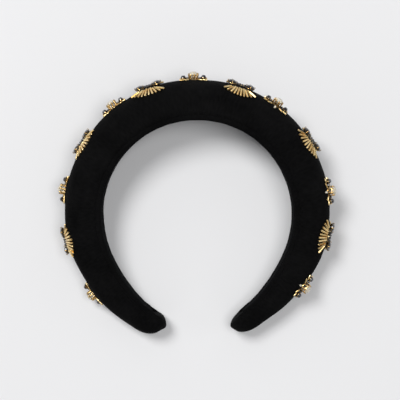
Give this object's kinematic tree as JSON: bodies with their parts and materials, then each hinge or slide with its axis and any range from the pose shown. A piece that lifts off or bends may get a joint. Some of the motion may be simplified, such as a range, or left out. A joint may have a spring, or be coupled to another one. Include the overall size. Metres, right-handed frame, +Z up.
{
  "type": "padded headband",
  "caption": "Padded velvet headband: a C-shaped sprung band with foam padding, a velvet cover and gold bead and stone motifs sewn round its outer face.",
  "frame": {"origin": "centre of the headband's box, on the surface that it lies on", "axes": "+Z up, across the band's width; +Y toward the crown, so the gap between the tips faces -Y; +X across the loop. The band lies on its lower edge, tipped 4.7 degrees about X, as it rests on a table."},
  "size_m": [0.1689, 0.1594, 0.0395],
  "materials": {
    "velvet": "short pile black velvet, matt with a soft sheen at grazing angles",
    "lining": "flat black velvet ribbon, glued down",
    "core": "moulded black plastic strip, hidden",
    "foam": "soft open foam, hidden",
    "gold_bead": "gold-lined bugle beads, bright",
    "gold_setting": "polished gold-plated cups and claws",
    "jet": "black faceted glass, gloss",
    "crystal": "pale champagne faceted crystal, clear"
  },
  "bodies": {
    "root": {"velvet_cover": "velvet", "inner_lining": "lining", "spring_core": "core", "foam_pad": "foam", "sunburst_1_bugles": "gold_bead", "sunburst_1_setting": "gold_setting", "sunburst_1_stone_a": "jet", "sunburst_1_stone_b": "jet", "sunburst_2_bugles": "gold_bead", "sunburst_2_setting": "gold_setting", "sunburst_2_stone_a": "jet", "sunburst_2_stone_b": "jet", "sunburst_3_bugles": "gold_bead", "sunburst_3_setting": "gold_setting", "sunburst_3_stone_a": "jet", "sunburst_3_stone_b": "jet", "sunburst_4_bugles": "gold_bead", "sunburst_4_setting": "gold_setting", "sunburst_4_stone_a": "jet", "sunburst_4_stone_b": "jet", "sunburst_5_bugles": "gold_bead", "sunburst_5_setting": "gold_setting", "sunburst_5_stone_a": "jet", "sunburst_5_stone_b": "jet", "sunburst_6_bugles": "gold_bead", "sunburst_6_setting": "gold_setting", "sunburst_6_stone_a": "jet", "sunburst_6_stone_b": "jet", "cluster_1_base": "gold_setting", "cluster_1_crystal": "crystal", "cluster_1_stone_a": "jet", "cluster_1_stone_b": "jet", "cluster_2_base": "gold_setting", "cluster_2_crystal": "crystal", "cluster_2_stone_a": "jet", "cluster_2_stone_b": "jet", "cluster_3_base": "gold_setting", "cluster_3_crystal": "crystal", "cluster_3_stone_a": "jet", "cluster_3_stone_b": "jet", "cluster_4_base": "gold_setting", "cluster_4_crystal": "crystal", "cluster_4_stone_a": "jet", "cluster_4_stone_b": "jet", "cluster_5_base": "gold_setting", "cluster_5_crystal": "crystal", "cluster_5_stone_a": "jet", "cluster_5_stone_b": "jet", "cluster_6_base": "gold_setting", "cluster_6_crystal": "crystal", "cluster_6_stone_a": "jet", "cluster_6_stone_b": "jet", "cluster_7_base": "gold_setting", "cluster_7_crystal": "crystal", "cluster_7_stone_a": "jet", "cluster_7_stone_b": "jet"}
  },
  "joints": []
}
